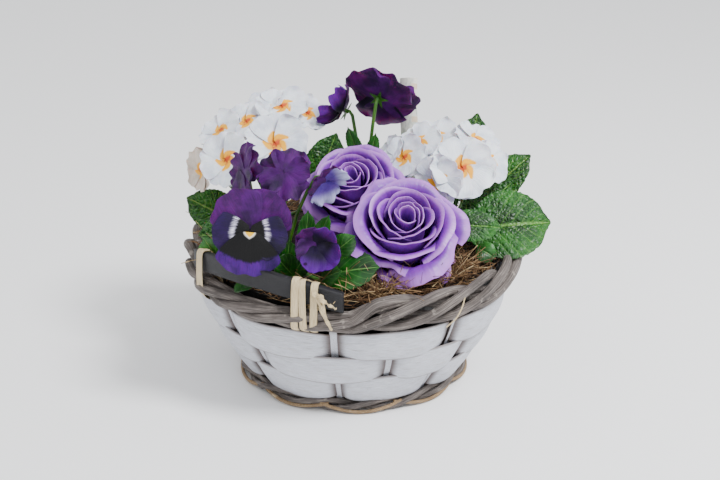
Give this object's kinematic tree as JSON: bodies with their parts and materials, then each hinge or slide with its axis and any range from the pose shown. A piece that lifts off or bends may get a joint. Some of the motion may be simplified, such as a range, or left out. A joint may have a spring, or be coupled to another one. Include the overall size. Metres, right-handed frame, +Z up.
{
  "type": "planted flower basket",
  "caption": "Round woven splint basket with a willow rim and bent handles, planted with white primulas, purple pansies and lilac roses.",
  "frame": {"origin": "centre of the flat underside of the base, on the surface the basket stands on", "axes": "+Z up, -Y to the front with the roses and the front handle, +X to the right"},
  "size_m": [0.2627, 0.2408, 0.2208],
  "materials": {
    "white_splint": "chalky whitewash",
    "willow": "weathered",
    "stained_wood": "dark paint, worn",
    "raffia": "dry fibre",
    "foil": "matt film",
    "soil": "crumbly, damp",
    "moss": "dry fibre",
    "leaf": "living leaf, satin",
    "stalk": "living stalk, satin",
    "primula_white": "petal, matt",
    "pansy_purple": "petal, velvet",
    "rose_lilac": "petal, matt",
    "label": "printed card"
  },
  "bodies": {
    "root": {"base_and_stakes": "white_splint", "foot_rod_1": "willow", "foot_rod_2": "willow", "handle_back": "stained_wood", "handle_front": "stained_wood", "liner_foil": "foil", "moss_ring": "moss", "pansy_back_stalks": "stalk", "pansy_bud": "pansy_purple", "pansy_front": "pansy_purple", "pansy_front_stalks": "stalk", "pansy_leaf_1": "leaf", "pansy_leaf_2": "leaf", "pansy_leaf_3": "leaf", "pansy_left": "pansy_purple", "pansy_ruffled": "pansy_purple", "pansy_tall": "pansy_purple", "pansy_tall_small": "pansy_purple", "pansy_wilted": "pansy_purple", "plant_label": "label", "primula_left_flower_1": "primula_white", "primula_left_flower_2": "primula_white", "primula_left_flower_3": "primula_white", "primula_left_flower_4": "primula_white", "primula_left_flower_5": "primula_white", "primula_left_leaf_1": "leaf", "primula_left_leaf_2": "leaf", "primula_left_leaf_3": "leaf", "primula_left_stalks": "stalk", "primula_right_flower_1": "primula_white", "primula_right_flower_2": "primula_white", "primula_right_flower_3": "primula_white", "primula_right_flower_4": "primula_white", "primula_right_flower_5": "primula_white", "primula_right_leaf_1": "leaf", "primula_right_leaf_2": "leaf", "primula_right_leaf_3": "leaf", "primula_right_leaf_4": "leaf", "primula_right_leaf_5": "leaf", "primula_right_leaf_6": "leaf", "primula_right_stalks": "stalk", "raffia_tie_back_1": "raffia", "raffia_tie_back_2": "raffia", "raffia_tie_front_1": "raffia", "raffia_tie_front_2": "raffia", "rim_rod_1": "willow", "rim_rod_2": "willow", "rim_rod_3": "willow", "rim_rod_4": "willow", "rose_back": "rose_lilac", "rose_back_stem": "stalk", "rose_front": "rose_lilac", "rose_front_stem": "stalk", "soil": "soil", "wall_band_1": "white_splint", "wall_band_2": "white_splint", "wall_band_3": "white_splint"}
  },
  "joints": []
}
